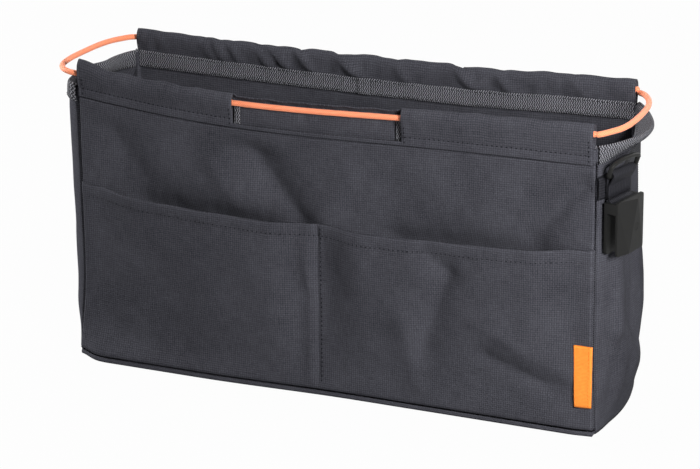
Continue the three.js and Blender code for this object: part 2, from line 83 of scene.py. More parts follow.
# End panels: swelling past the side seams at four heights, how full it is, and how deep its hollow is
RIGHT = {
    "side": 1, "fullness": 2, "hollow": 5.5,
    "heights": [0, 40, rim_height - 12, rim_height], "swells": [8, 15.5, 11, 21],
}
LEFT = {
    "side": -1, "fullness": 4, "hollow": 0.0,
    "heights": [0, 40, rim_height - 22, rim_height], "swells": [10, 19, 20, 14],
}

# Hollow of an end panel. A pair goes from where it is flat to where it is deepest; its foot drops backwards
hollow_front = (-27.0, 10.0)
hollow_back = (46.0, 22.0)
hollow_foot = 64.0
hollow_foot_ramp = 28.0
hollow_slant = 0.8
hollow_top = (rim_height - 8, rim_height - 18)

# Casings: windows are cut out of the outer layer
casing_end = node_box("front_casing")[1][0]
casing_ply = 1.0
casing_bottom = rim_height - 8
casing_stitch = casing_bottom + 6.5
front_window = (-70.0, 54.0)
back_window = (-60.0, 64.0)

# Elastic cord
cord_radius = 2.0
cord_inward = wall_thickness / 2
mouth_x, _, cord_height = pivot("loop_right_lift")

# Webbing
webbing_ply = 1.2
strap_half = 12.5


# Shape of the bag
def ease(share):
    share = np.clip(share, 0, 1)
    return share * share * (3 - 2 * share)


def ramp(value, start, finish):
    """Zero before the start and one past the finish, with an eased climb between them"""
    return ease((value - start) / (finish - start))


def bump(distance, width):
    return np.exp(-((distance / width) ** 2))


def ridge(value, height, middle, width):
    return height * bump(value - middle, width)


def stack(x, y, z):
    return np.stack(np.broadcast_arrays(x, y, z), axis=-1).astype(float)


def half_depth(z):
    return base_half_depth + (rim_half_depth - base_half_depth) * z / rim_height


def swell(end, z):
    total = end["swells"][0]
    heights, swells = end["heights"], end["swells"]
    for low, high, start, finish in zip(heights, heights[1:], swells, swells[1:]):
        total = total + (finish - start) * ramp(z, low, high)
    return total


def hollow(end, y, z):
    """How far an end panel is sunk"""
    foot = hollow_foot - hollow_slant * (y - hollow_front[0])
    between = ramp(z, foot, foot + hollow_foot_ramp) * ramp(z, *hollow_top)
    return end["hollow"] * ramp(y, *hollow_front) * ramp(y, *hollow_back) * between


def end_point(end, s, z, outward):
    """A point on an end panel: s runs from -1 at the front seam to 1 at the back one"""
    reach = half_depth(z) - wall_thickness - seam_gap
    full = end["fullness"]
    y = s * reach
    outward = outward - hollow(end, y, z)
    slope = -swell(end, z) * full * np.sign(s) * np.abs(s) ** (full - 1) / reach
    length = np.hypot(1, slope)
    x = half_width + swell(end, z) * (1 - np.abs(s) ** full) + outward / length
    return stack(end["side"] * x, y - outward * slope / length, z)


def sag(amount, x, z):
    return amount * (1 - (x / half_width) ** 2) * np.clip(z / rim_height, 0, 1) ** 2


def front_point(x, inward, z):
    """A point on the front: inward is measured from the wall's outer face"""
    return stack(x, inward - half_depth(z), z - sag(front_sag, x, z))


def back_point(x, inward, z):
    return stack(x, half_depth(z) - inward, z - sag(back_sag, x, z))


# Where the photographed bag has settled out of its even shape: how far, and weights along X, Y and Z
def climb(start, finish):
    return lambda value: ramp(value, start, finish)


def around(middle, width):
    return lambda value: ridge(value, 1, middle, width)


def fading(end):
    return lambda value: np.clip(1 - value / end, 0, 1)


def everywhere(value):
    return 1


def tilting(x):
    return np.sin(np.pi * np.clip(x / half_width, -1, 1))


left_rim = climb(1 - half_width, -5 - half_width)
left_rim_top = climb(rim_height - 22, rim_height - 4)
settled_across = {
    "left corner flares": (-6.5, climb(-120, -190), climb(-22, -48), around(0, 40)),
    "right corner flares": (2.2, climb(150, 190), climb(-22, -48), around(0, 40)),
    "right end bows at the back": (5.4, climb(150, 190), climb(5, 35), around(74, 42)),
    "left rim is pulled in": (6.5, left_rim, climb(-6, 14), left_rim_top),
    "left rim flares at the front": (-4.0, left_rim, around(-40, 12), left_rim_top),
}
settled_back = {
    "left corner is rounded": (5.0, climb(16 - half_width, -half_width), climb(-28, -42), around(0, 18)),
    "right corner is rounded": (1.5, climb(half_width - 16, half_width), climb(-28, -42), around(0, 18)),
    "foot is pushed out": (-2.0, everywhere, climb(-25, -45), around(0, 16)),
    "left of the foot is pushed further": (-4.0, climb(20, -100), climb(-25, -45), around(0, 16)),
}
settled_up = {
    "left corner lifts": (3.0, climb(-168, -196), climb(10, -50), fading(60)),
    "front rim tilts": (2.2, tilting, climb(0, -30), climb(100, 190)),
    "back rim rises": (2.4, climb(50, 160), climb(10, 40), climb(150, 200)),
}


def settle(points):
    x, y, z = np.moveaxis(np.array(points, float), -1, 0)

    def total(changes):
        return sum(far * on_x(x) * on_y(y) * on_z(z) for far, on_x, on_y, on_z in changes.values())

    return stack(x + total(settled_across), y + total(settled_back), z + total(settled_up))


# Folds and waves of cloth. A wave has a height, a length and, if it is drawn out upwards, a share under one
crease_power = 1.4
wave_count = 7
wave_scale = 2.6
# A wave's direction, shift and stretch are drawn between these
wave_low = (0, 0, 0.7)
wave_high = (2 * np.pi, 2 * np.pi, 1.4)


def fold(x, z, start, end, width, depth):
    """A fold along a straight line, with a sharper top than a bump, which fades out past its ends"""
    x, z = x - start[0], z - start[1]
    along = np.subtract(end, start)
    share = np.clip((x * along[0] + z * along[1]) / (along @ along), 0, 1)
    distance = np.hypot(x - share * along[0], z - share * along[1])
    return depth * np.exp(-((distance / width) ** crease_power))


def folds(x, z, lines):
    return sum(fold(x, z, *line) for line in lines)


def waves(x, z, seed, height, length, upright=1.0):
    draw = np.random.default_rng(seed)
    total = 0
    for turn, shift, stretch in draw.uniform(wave_low, wave_high, (wave_count, 3)):
        phase = (x * np.cos(turn) + z * upright * np.sin(turn)) * stretch * 2 * np.pi / length
        total = total + np.sin(phase + shift) / wave_scale
    return height * total


# Lines and meshes
weld_distance = 0.01
cap_rings = 4
thread_sides = 6


def spline(points, steps):
    """A smooth curve through the points, with some steps to each stretch"""
    points = np.asarray(points, float)
    ends = np.vstack([2 * points[0] - points[1], points, 2 * points[-1] - points[-2]])
    t = np.linspace(0, 1, steps, endpoint=False)[:, None]
    runs = []
    for a, b, c, d in zip(ends, ends[1:], ends[2:], ends[3:]):
        square = (2 * a - 5 * b + 4 * c - d) * t**2
        cube = (3 * b - a - 3 * c + d) * t**3
        runs.append((2 * b + (c - a) * t + square + cube) / 2)
    return np.vstack([*runs, points[-1:]])


def arc(centre, radius, start, finish, steps):
    angles = np.radians(np.linspace(start, finish, steps))
    return [(centre[0] + radius * math.cos(a), centre[1] + radius * math.sin(a)) for a in angles]


def run_along(line):
    """How far along a line each of its points is"""
    return np.concatenate([[0], np.cumsum(np.linalg.norm(np.diff(line, axis=0), axis=1))])


def unit(vectors):
    return vectors / np.linalg.norm(vectors, axis=-1, keepdims=True)


def flat_map(across, up):
    """Places on the flat cloth, for its weave"""
    return stack(across, up, 0)[..., :2]


def facing(columns, turned):
    """Columns in the order that turns a sheet's outer face the right way"""
    return columns[::-1] if turned else columns


def mesh_piece(name, points, faces, uvs=None):
    points = np.asarray(points, float).reshape(-1, 3)
    used = np.unique(np.concatenate(faces))
    place = np.zeros(len(points), int)
    place[used] = np.arange(len(used))
    mesh = bpy.data.meshes.new(name)
    mesh.from_pydata((points[used] * MM).tolist(), [], [place[list(face)].tolist() for face in faces])
    if uvs is not None:
        corners = np.empty(len(mesh.loops), int)
        mesh.loops.foreach_get("vertex_index", corners)
        flat = np.asarray(uvs, float).reshape(-1, 2)[used] * MM
        mesh.uv_layers.new(name="UVMap").data.foreach_set("uv", flat[corners].ravel())
    mesh.shade_smooth()
    piece = bpy.data.objects.new(name, mesh)
    bpy.context.scene.collection.objects.link(piece)
    return piece


def grid_faces(rows, columns, keep=None, closed=False):
    index = np.arange(rows * columns).reshape(rows, columns)
    if closed:
        index = np.hstack([index, index[:, :1]])
    faces = np.stack([index[:-1, :-1], index[:-1, 1:], index[1:, 1:], index[1:, :-1]], axis=-1)
    return (faces.reshape(-1, 4) if keep is None else faces[keep]).tolist()


def weld(piece):
    """Join points that lie on each other"""
    modifier = piece.modifiers.new("weld", "WELD")
    modifier.merge_threshold = weld_distance * MM


def cloth(name, points, uvs, ply, keep=None, middle=False):
    """A sheet with a thickness, whose outer face, or middle, goes through the points"""
    rows, columns = points.shape[:2]
    piece = mesh_piece(name, points, grid_faces(rows, columns, keep), uvs)
    skin = piece.modifiers.new("ply", "SOLIDIFY")
    skin.thickness = ply * MM
    skin.offset = 0 if middle else -1
    return piece


def dress(piece, look, body, slot, *replaced):
    piece.data.materials.append(look)
    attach(piece, body)
    if replaced:
        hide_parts(*replaced)
    return piece


def tube(name, path, radius, sides=16):
    """A round tube along a path that is nowhere upright, with round ends"""
    path = np.asarray(path, float)
    along = unit(np.gradient(path, axis=0))
    turns = np.linspace(0, np.pi / 2, cap_rings, endpoint=False)
    reach = radius * np.cos(turns)[:, None]
    centres = np.vstack([path[0] - along[0] * reach, path, path[-1] + along[-1] * reach[::-1]])
    cap = radius * np.sin(turns)
    radii = np.concatenate([cap, np.full(len(path), radius), cap[::-1]])
    along = np.pad(along, ((cap_rings, cap_rings), (0, 0)), "edge")
    across = unit(np.cross(along, [0, 0, 1]))
    above = np.cross(across, along)
    angles = np.linspace(0, 2 * np.pi, sides + 1)
    spokes = across[:, None] * np.cos(angles)[:, None] + above[:, None] * np.sin(angles)[:, None]
    points = centres[:, None] + spokes * radii[:, None, None]
    uvs = flat_map(run_along(centres)[:, None], angles * radius)
    piece = mesh_piece(name, points, grid_faces(len(centres), sides + 1), uvs)
    weld(piece)
    return piece


def stitches(name, rows, look, body="bag", pitch=3.4, length=2.4, radius=0.4):
    """Rows of thread: each row is a line of points and the way out of the cloth"""
    points, faces = [], []
    turn = np.linspace(0, 2 * np.pi, thread_sides, endpoint=False)
    for line, outward in rows:
        line = np.asarray(line, float)
        run = run_along(line)
        for middle in np.arange(pitch / 2, run[-1], pitch):
            start, centre, end = (
                np.array([np.interp(middle + shift, run, line[:, k]) for k in range(3)])
                for shift in (-length / 2, 0, length / 2)
            )
            along = unit(end - start)
            side = unit(np.cross(along, outward))
            rise = np.cross(side, along)
            ring = centre + radius * (np.cos(turn)[:, None] * side + np.sin(turn)[:, None] * rise)
            first = len(points)
            points += [start - radius * rise, *ring, end - radius * rise]
            last = first + thread_sides + 1
            for k in range(thread_sides):
                a, b = first + 1 + k, first + 1 + (k + 1) % thread_sides
                faces += [(first, b, a), (last, a, b)]
    return dress(mesh_piece(name, points, faces), look, body, "fabric")


# Materials
WAVE_PERIOD = math.pi / 10


class Nodes:
    """Shader nodes of a material or a world, put together in small steps"""

    def __init__(self, owner):
        owner.use_nodes = True
        self.tree = owner.node_tree

    def add(self, kind, inputs=None, **settings):
        node = self.tree.nodes.new("ShaderNode" + kind)
        for key, value in settings.items():
            setattr(node, key, value)
        self.feed(node, inputs or {})
        return node

    def feed(self, node, inputs):
        for key, value in inputs.items():
            if isinstance(value, bpy.types.NodeSocket):
                self.tree.links.new(value, node.inputs[key])
            else:
                node.inputs[key].default_value = value

    def math(self, operation, first, second):
        return self.add("Math", {0: first, 1: second}, operation=operation).outputs[0]

    def shown_directly(self):
        """One where the camera, a reflection or a transmission sees the surface, and zero for other light"""
        path = self.add("LightPath").outputs
        share = self.math("MAXIMUM", path["Is Camera Ray"], path["Is Glossy Ray"])
        return self.math("MAXIMUM", share, path["Is Transmission Ray"])

    def show(self, output, share, first, second):
        mix = self.add("MixShader", {0: share, 1: first.outputs[0], 2: second.outputs[0]})
        self.feed(self.tree.nodes[output], {"Surface": mix.outputs[0]})


class Look(Nodes):
    """Material of a piece. Pitch, grain and depth are in millimetres"""

    def __init__(self, name):
        self.material = bpy.data.materials.new(name)
        super().__init__(self.material)
        self.uv = self.add("UVMap").outputs["UV"]
        self.place = self.add("TexCoord").outputs["Object"]

    def mix(self, share, first, second):
        return self.add("Mix", {0: share, 2: first, 3: second}).outputs[0]

    def layers(self, *weighted):
        """Sum of values, each times its weight"""
        total = 0.0
        for value, weight in weighted:
            total = self.math("ADD", total, self.math("MULTIPLY", value, weight))
        return total

    def waves(self, vector, pitch, direction):
        inputs = {"Vector": vector, "Scale": WAVE_PERIOD / (pitch * MM)}
        return self.add("TexWave", inputs, bands_direction=direction).outputs["Fac"]

    def noise(self, vector, grain, detail=2.0):
        inputs = {"Vector": vector, "Scale": 1 / (grain * MM), "Detail": detail}
        return self.add("TexNoise", inputs).outputs["Fac"]

    def stretched(self, *scale):
        return self.add("Mapping", {"Vector": self.uv, "Scale": scale}).outputs["Vector"]

    def slanting(self, pitch, degrees):
        inputs = {"Vector": self.uv, "Rotation": (0, 0, math.radians(degrees))}
        return self.waves(self.add("Mapping", inputs).outputs["Vector"], pitch, "X")

    def finish(self, colours, rough, bump, **levels):
        """Colours and rough: two ends and a share between them. Bump: height, strength and depth"""
        dark, light, share = colours
        colour = self.add("Mix", {0: share, 6: srgb(dark), 7: srgb(light)}, data_type="RGBA").outputs[2]
        smooth, matt, share = rough
        height, strength, depth = bump
        relief = self.add("Bump", {"Height": height, "Strength": strength, "Distance": depth * MM})
        inputs = {name.replace("_", " "): level for name, level in levels.items()}
        inputs["Base Color"] = colour
        inputs["Roughness"] = self.mix(share, smooth, matt)
        inputs["Normal"] = relief.outputs["Normal"]
        self.feed(self.tree.nodes["Principled BSDF"], inputs)
        return self.material


def srgb(colour):
    """Linear colour of a display colour, whose levels go to 255"""
    levels = np.array(colour) / 255
    linear = np.where(levels <= 0.04045, levels / 12.92, ((levels + 0.055) / 1.055) ** 2.4)
    return (*linear, 1)


def woven_look():
    """Plain weave: warp and weft take turns on top, with thicker threads here and there"""
    pitch, slub_grain, slub_stretch, slub_middle = 1.55, 1.1, 0.12, 0.35
    look = Look("charcoal_weave")
    warp = look.waves(look.uv, pitch, "X")
    weft = look.waves(look.uv, pitch, "Y")
    over = look.add("TexChecker", {"Vector": look.uv, "Scale": 1 / (pitch * MM)}).outputs["Fac"]
    weave = look.mix(over, warp, weft)
    speckle = look.noise(look.uv, 0.9, 3)
    upright = look.noise(look.stretched(1, slub_stretch, 1), slub_grain)
    level = look.noise(look.stretched(slub_stretch, 1, 1), slub_grain)
    slubs = look.math("SUBTRACT", look.mix(over, upright, level), slub_middle)
    mottle = look.math("SUBTRACT", look.noise(look.place, 38), 0.5)
    share = look.layers((weave, 0.36), (speckle, 0.3), (slubs, 0.6), (mottle, 0.35))
    return look.finish(
        colours=((28, 28, 33), (89, 89, 96), share),
        rough=(0.78, 0.95, speckle),
        bump=(look.layers((weave, 1), (speckle, 0.5)), 0.22, 0.2),
        Sheen_Weight=0.01,
        Sheen_Roughness=0.5,
        Specular_IOR_Level=0.0,
    )


def knitted_look():
    """Knitted binding: rows of slanting stitches that change direction"""
    pitch, row_pitch, slant, contrast = 1.5, 3.1, 30, 1.6
    look = Look("knitted_tape")
    rise = look.slanting(pitch, slant)
    fall = look.slanting(pitch, -slant)
    knit = look.mix(look.waves(look.uv, row_pitch, "Y"), rise, fall)
    speckle = look.noise(look.uv, 0.9, 3)
    bright = look.math("POWER", knit, contrast)
    return look.finish(
        colours=((22, 22, 26), (132, 132, 138), look.math("MULTIPLY", bright, look.layers((speckle, 2.2)))),
        rough=(0.85, 1.0, speckle),
        bump=(look.math("ADD", knit, speckle), 0.8, 0.6),
        Sheen_Weight=0.03,
        Specular_IOR_Level=0.05,
    )


def webbing_look():
    """Webbing with fine ribs along its length"""
    look = Look("webbing")
    ribs = look.waves(look.uv, 1.8, "Y")
    speckle = look.noise(look.uv, 0.8)
    return look.finish(
        colours=((16, 16, 19), (42, 42, 47), look.layers((ribs, 0.6), (speckle, 0.4))),
        rough=(0.6, 0.85, speckle),
        bump=(look.layers((ribs, 1), (speckle, 0.5)), 0.55, 0.4),
        Specular_IOR_Level=0.1,
    )


def braided_look():
    """Braided cover of the cord: two families of threads that cross"""
    pitch, slant = 1.1, 45
    look = Look("braided_cord")
    braid = look.math("MAXIMUM", look.slanting(pitch, slant), look.slanting(pitch, -slant))
    speckle = look.noise(look.uv, 0.8)
    return look.finish(
        colours=((226, 96, 50), (255, 160, 116), look.layers((braid, 0.65), (speckle, 0.35))),
        rough=(0.55, 0.75, speckle),
        bump=(braid, 0.6, 0.35),
        Sheen_Weight=0.15,
    )


def ribbon_look():
    """Woven ribbon of the label, with fine ribs across it"""
    look = Look("label_ribbon")
    ribs = look.waves(look.uv, 1.0, "Y")
    threads = look.waves(look.uv, 0.8, "X")
    speckle = look.noise(look.uv, 2.5, 3)
    return look.finish(
        colours=((238, 112, 18), (255, 158, 58), look.layers((ribs, 0.3), (speckle, 0.7))),
        rough=(0.45, 0.65, speckle),
        bump=(look.layers((ribs, 1), (threads, 0.5)), 0.5, 0.25),
    )


def moulded_look(name, dark, light, smoothest):
    """Moulded plastic with a fine grain"""
    look = Look(name)
    cloud = look.noise(look.place, 9, 3)
    return look.finish(
        colours=(dark, light, cloud),
        rough=(smoothest, smoothest + 0.16, cloud),
        bump=(look.noise(look.place, 0.35), 0.25, 0.08),
        Specular_IOR_Level=0.18,
    )


def thread_look(name, dark, light):
    """Sewing thread, twisted"""
    look = Look(name)
    fuzz = look.noise(look.place, 0.7)
    return look.finish(
        colours=(dark, light, fuzz),
        rough=(0.6, 0.8, fuzz),
        bump=(look.waves(look.place, 0.5, "DIAGONAL"), 0.3, 0.1),
        Specular_IOR_Level=0.05,
    )


fabric = woven_look()
knit = knitted_look()
webbing = webbing_look()
braid = braided_look()
ribbon = ribbon_look()
plastic = moulded_look("black_plastic", (13, 13, 13), (22, 22, 21), 0.46)
board_plastic = moulded_look("board_plastic", (34, 34, 37), (48, 48, 52), 0.6)
cloth_thread = thread_look("grey_thread", (12, 12, 15), (28, 28, 33))
trim_thread = thread_look("dark_thread", (22, 22, 26), (44, 44, 50))
label_thread = thread_look("orange_thread", (200, 88, 20), (240, 130, 50))


# Camera: fitted to the corners of the bag in the photograph
photo_width = 700
focal_pixels = 2742
sensor_width = 36
camera_turn = math.radians(23.04)
camera_tilt = math.radians(21.17)
camera_roll = math.radians(-0.96)
camera_distance = 1.924
camera_target = Vector((-0.0047, 0.0001, 0.1017))

# Studio, in metres and watts: a place, a size and a power for each lamp
floor_half = 6
floor_matt = {"Base Color": (0.22, 0.22, 0.22, 1), "Roughness": 0.9}
floor_white = 0.975
world_fill = {"Color": (0.95, 0.97, 1.0, 1), "Strength": 0.065}
light_aim = Vector((0, 0, 0.1))
studio_lights = {
    "key": ((0.77, -0.67, 0.55), 0.3, 17.4),
    "left": ((-1.5, 0.05, 0.5), 0.6, 34),
    "front": ((-0.5, -2.4, 1.2), 1.2, 1.5),
    "top": ((-0.4, 0.5, 2.2), 1.2, 14),
    "rear": ((0.7, 2.0, 0.9), 1.0, 16),
}


def add_camera():
    data = bpy.data.cameras.new("camera")
    data.sensor_fit = "HORIZONTAL"
    data.sensor_width = sensor_width
    data.lens = focal_pixels * sensor_width / photo_width
    camera = bpy.data.objects.new("camera", data)
    turn = Matrix.Rotation(camera_turn, 4, "Z")
    tilt = Matrix.Rotation(math.pi / 2 - camera_tilt, 4, "X")
    roll = Matrix.Rotation(camera_roll, 4, "Z")
    back = Matrix.Translation((0, 0, camera_distance))
    camera.matrix_world = Matrix.Translation(camera_target) @ turn @ tilt @ roll @ back
    bpy.context.scene.collection.objects.link(camera)
    bpy.context.scene.camera = camera


def add_light(name, place, size, power):
    data = bpy.data.lights.new(name, "AREA")
    data.shape = "DISK"
    data.size = size
    data.energy = power
    light = bpy.data.objects.new(name, data)
    light.location = place
    light.rotation_euler = (light_aim - Vector(place)).to_track_quat("-Z", "Y").to_euler()
    bpy.context.scene.collection.objects.link(light)


def add_world():
    world = bpy.data.worlds.new("studio")
    bpy.context.scene.world = world
    nodes = Nodes(world)
    fill = nodes.tree.nodes["Background"]
    nodes.feed(fill, world_fill)
    white = nodes.add("Background", {"Color": (1, 1, 1, 1)})
    nodes.show("World Output", nodes.shown_directly(), fill, white)


def add_floor():
    half = floor_half / MM
    corners = [(-half, -half, 0), (half, -half, 0), (half, half, 0), (-half, half, 0)]
    floor = mesh_piece("floor", corners, [(0, 1, 2, 3)])
    material = bpy.data.materials.new("pale_floor")
    nodes = Nodes(material)
    matt = nodes.tree.nodes["Principled BSDF"]
    nodes.feed(matt, floor_matt)
    white = nodes.math("MULTIPLY", nodes.shown_directly(), floor_white)
    nodes.show("Material Output", white, matt, nodes.add("Emission"))
    floor.data.materials.append(material)


bpy.context.scene.view_settings.view_transform = "Standard"
add_camera()
add_world()
add_floor()
for light_name, settings in studio_lights.items():
    add_light(light_name, *settings)


# Elastic cord: two runs in the casings and a free loop at each end.
# Points of a loop: out from the mouths, share of half the distance between the mouths, rise
right_loop_points = [
    (0, -1, 0), (2.6, -0.96, 0.3), (6.4, -0.88, 0.8), (10, -0.785, 1.2), (12.4, -0.68, 1.4),
    (14, -0.54, 1.5), (15, -0.36, 1.5), (15.5, -0.14, 1.5), (15.5, 0.08, 1.5), (15, 0.28, 1.5),
    (13.6, 0.46, 1.4), (11.2, 0.63, 1.2), (7.8, 0.79, 0.8), (3.8, 0.925, 0.3), (0, 1, 0),
]
left_loop_points = [
    (0, -1, 0), (4.5, -1.005, 0.5), (9.5, -0.97, 1.1), (13.9, -0.88, 1.5), (16.5, -0.74, 1.7),
    (17.7, -0.56, 1.6), (18, -0.35, 1.4), (17.4, -0.12, 1.2), (16.5, 0.1, 1), (15.5, 0.3, 0.8),
    (14, 0.5, 0.5), (11.6, 0.68, 0.2), (8, 0.83, 0), (4, 0.945, 0), (0, 1, 0),
]
loop_steps = 5
run_steps = 60
mouth_y = half_depth(cord_height) - cord_inward


def add_loop(name, side, points):
    route = [(side * (mouth_x + out), share * mouth_y, cord_height + rise) for out, share, rise in points]
    path = spline(route, loop_steps)
    piece = tube(f"elastic_loop_{name}", path, cord_radius)
    dress(piece, braid, f"loop_{name}", "cord", f"cord_loop_{name}")
    float(run_along(path)[-1] * MM)


def add_run(name, place):
    reach = mouth_x - cord_radius - seam_gap
    x = np.linspace(-reach, reach, run_steps)
    piece = tube(f"elastic_{name}", settle(place(x, cord_inward, cord_height)), cord_radius)
    dress(piece, braid, "bag", "cord", f"cord_{name}")


add_loop("right", 1, right_loop_points)
add_loop("left", -1, left_loop_points)
add_run("front", front_point)
add_run("back", back_point)


# Long walls: the edges roll into the side seams and the base seam, and rows lie closer at the casing's seam
wall_foot = 3.6
wall_crown = casing_bottom + 1.5
wall_rows = np.concatenate([
    np.linspace(wall_foot, casing_bottom - 9, 60),
    np.linspace(casing_bottom - 8, wall_crown, 12),
    np.linspace(wall_crown + 1, rim_height - 0.5, 4),
])[:, None]
seam_columns = half_width - np.linspace(0.4, 2.4, 6)
wall_columns = np.unique(
    np.concatenate([np.linspace(-half_width, half_width, 131), seam_columns, -seam_columns])
)
roll_width = 2.6
roll_depth = 3.0
front_seam_drop = 0.35
front_seam_slope = 0.0146
window_margin = 4
wall_wave = (0.5, 55)
wall_crimp = (0.16, 13, 0.5)
# A groove or a ridge: how far it goes, its middle and its width
seam_groove = (1.3, -0.6, 1.3)

# A fold: where it starts and ends, across and up, its width, and how far it goes in or, below zero, out
front_wall_folds = [
    ((-58, 182), (-22, 128), 14, 6.5),
    ((-140, 122), (-50, 118), 14, 9.0),
    ((-88, 168), (-72, 136), 10, -2.6),
    ((14, 166), (-3, 136), 10, -2.4),
    ((182, 178), (146, 138), 9, 4.6),
    ((50, 122), (150, 122), 13, 8.5),
    ((60, 178), (110, 160), 20, -1.2),
    ((-165, 180), (-140, 145), 14, 2.4),
]
back_wall_folds = [
    ((-120, 170), (-60, 40), 22, 3.0),
    ((-40, 60), (-10, 180), 18, -1.6),
    ((60, 150), (120, 30), 20, 2.6),
    ((150, 170), (90, 120), 14, -1.4),
    ((0, 20), (60, 90), 16, 1.8),
]


def turned_in(distance, width):
    """How far an edge has turned into its seam, by its distance from it"""
    return np.clip(1 - distance / width, 0, 1) ** 2


def rolled(x, z):
    side = turned_in(half_width - np.abs(x), roll_width)
    return roll_depth * (side + turned_in(z - wall_foot, roll_width))


def front_seam(x):
    """Height of the front casing's lower edge, which climbs towards the left"""
    return casing_bottom - front_seam_drop - front_seam_slope * x


def back_seam(x):
    return np.full(np.shape(x), casing_bottom)


def add_panel(name, node, points, uvs, keep=None):
    """A panel of the bag, with the width and height of its flat cloth"""
    piece = dress(cloth(name, points, uvs, cloth_ply, keep), fabric, "bag", "fabric", node)


def add_wall(name, place, x, lines, seam, window, seed):
    z = wall_rows
    dent = folds(x, z, lines) + waves(x, z, seed, *wall_wave) + waves(x, z, seed + 1, *wall_crimp)
    dent = dent * ramp(z, casing_bottom - 4, casing_bottom - 22) + ridge(z - seam(x), *seam_groove)
    points = settle(place(x, dent + rolled(x, z), z))
    in_window = (x > window[0] - window_margin) & (x < window[1] + window_margin)
    above = z[1:] > wall_crown + 0.5
    keep = ~(above & (in_window[1:] | in_window[:-1]))
    add_panel(f"{name}_wall", f"{name}_panel", points, flat_map(x, z), keep)


add_wall("front", front_point, wall_columns, front_wall_folds, front_seam, front_window, seed=3)
add_wall("back", back_point, wall_columns[::-1], back_wall_folds, back_seam, back_window, seed=8)


# End panels: folds are given along the panel and up it, and how far they stand out
end_reach = base_half_depth
end_foot = 0.8
end_rows = np.linspace(end_foot, rim_height, 70)[:, None]
seam_shares = np.array([0.95, 0.96, 0.97, 0.99, 1.0])
end_columns = np.unique(np.concatenate([np.linspace(-1.02, 1.02, 53), seam_shares, -seam_shares]))
end_roll_share = 0.06
end_foot_roll = 0.2
# Waves without their height, which differs between the ends
end_wave = (30, 0.6)
end_crimp = (9, 0.4)
end_crimp_share = 0.3
right_end_folds = [
    ((-30, 114), (-28, 70), 8, 4.4),
    ((-6, 118), (2, 60), 12, -2.0),
    ((-37, 120), (-34, 60), 5, -1.2),
    ((24, 120), (30, 40), 9, 1.8),
    ((40, 76), (34, 24), 7, -2.2),
    ((-36, 24), (-24, 60), 6, -1.2),
]
left_end_folds = [
    ((0, 150), (8, 60), 14, -3.4),
    ((28, 130), (16, 40), 10, 1.6),
    ((38, 80), (28, 15), 8, -2.2),
    ((6, 40), (26, 20), 9, -1.8),
]


def end_swell(s, z, lines, wave, seed):
    y = s * end_reach
    free = ramp(np.abs(s), 1, 0.84) * ramp(z, 2, 22) * ramp(z, 166, 150)
    shape = folds(y, z, lines) + waves(y, z, seed, wave, *end_wave)
    shape = shape + waves(y, z, seed + 1, end_crimp_share * wave, *end_crimp)
    side = turned_in(1 - np.abs(s), end_roll_share)
    return free * shape - roll_depth * (side + end_foot_roll * turned_in(z - end_foot, roll_width))


def add_end(name, end, columns, lines, wave, seed):
    points = settle(end_point(end, columns, end_rows, end_swell(columns, end_rows, lines, wave, seed)))
    uvs = flat_map(columns * end_reach, end_rows)
    add_panel(f"{name}_end", f"{name}_gusset", points, uvs)


add_end("right", RIGHT, end_columns, right_end_folds, wave=0.5, seed=21)
add_end("left", LEFT, end_columns[::-1], left_end_folds, wave=0.2, seed=27)


# Base: a shallow tray with a rolled lip, made as one closed shell round its outline.
# Points of the lip: inset from the outline, height
base_lip = [
    (0.9, 0.0), (0.1, 0.3), (-0.4, 1.2), (-0.4, 2.4),
    (0.1, 3.2), (0.9, 3.4), (1.7, 2.8), (2.2, 1.6),
]
base_end_inset = 1.5
base_corner = 1.2
base_end_share = 0.97
base_end_steps = 30
base_side_steps = 120


def base_outline(inset):
    s = np.linspace(-base_end_share, base_end_share, base_end_steps)
    x = np.linspace(-half_width + base_corner, half_width - base_corner, base_side_steps)
    level = np.zeros(base_end_steps)
    edge = base_half_depth - inset
    right = end_point(RIGHT, s, level, -inset - base_end_inset)
    left = end_point(LEFT, -s, level, -inset - base_end_inset)
    return np.vstack([stack(x, -edge, 0), right, stack(-x, edge, 0), left])


def add_base():
    points = settle(np.array([base_outline(inset) + [0, 0, height] for inset, height in base_lip]))
    rows, count = points.shape[:2]
    faces = grid_faces(rows, count, closed=True)
    faces.append(tuple(range(count))[::-1])
    faces.append(tuple(range((rows - 1) * count, rows * count)))
    piece = mesh_piece("base_tray", points, faces, points[..., :2] + points[..., 2:])
    dress(piece, fabric, "bag", "fabric", "base_panel")


add_base()


# Moulded solids keep their shape, with their edges rounded
def keep_node(name, look, edge, angle=25):
    node = frame["nodes"][name]
    node.data.materials.clear()
    node.data.materials.append(look)
    weld(node)
    bevel = node.modifiers.new("edge", "BEVEL")
    bevel.width = edge * MM
    bevel.segments = 3
    bevel.limit_method = "ANGLE"
    bevel.angle_limit = math.radians(angle)
    bevel.harden_normals = True


keep_node("base_board", board_plastic, edge=0.8)
keep_node("cord_sleeve", plastic, edge=0.1)
keep_node("right_clip", plastic, edge=0.35, angle=12)


# Front pocket: sewn down at its sides, foot and middle, open at the mouth between them
pocket_top = node_box("front_pocket")[1][2]
pocket_dip = 7.0
pocket_gape = 8.0
pocket_middle = -8.0
pocket_flat_side = 12.0
pocket_flat_middle = 3.0
pocket_ramp = 34.0
pocket_lift = 1.4
pocket_deepest = 0.4
pocket_tuck = (1.3, pocket_middle - 6, 4)
pocket_groove = (0.8, pocket_middle, 1.5)
hem_width = 10.0
hem_step = 0.7
hem_stitch = 8.6
hem_groove = (0.5, hem_stitch, 1.0)
hem_pucker_width = 5
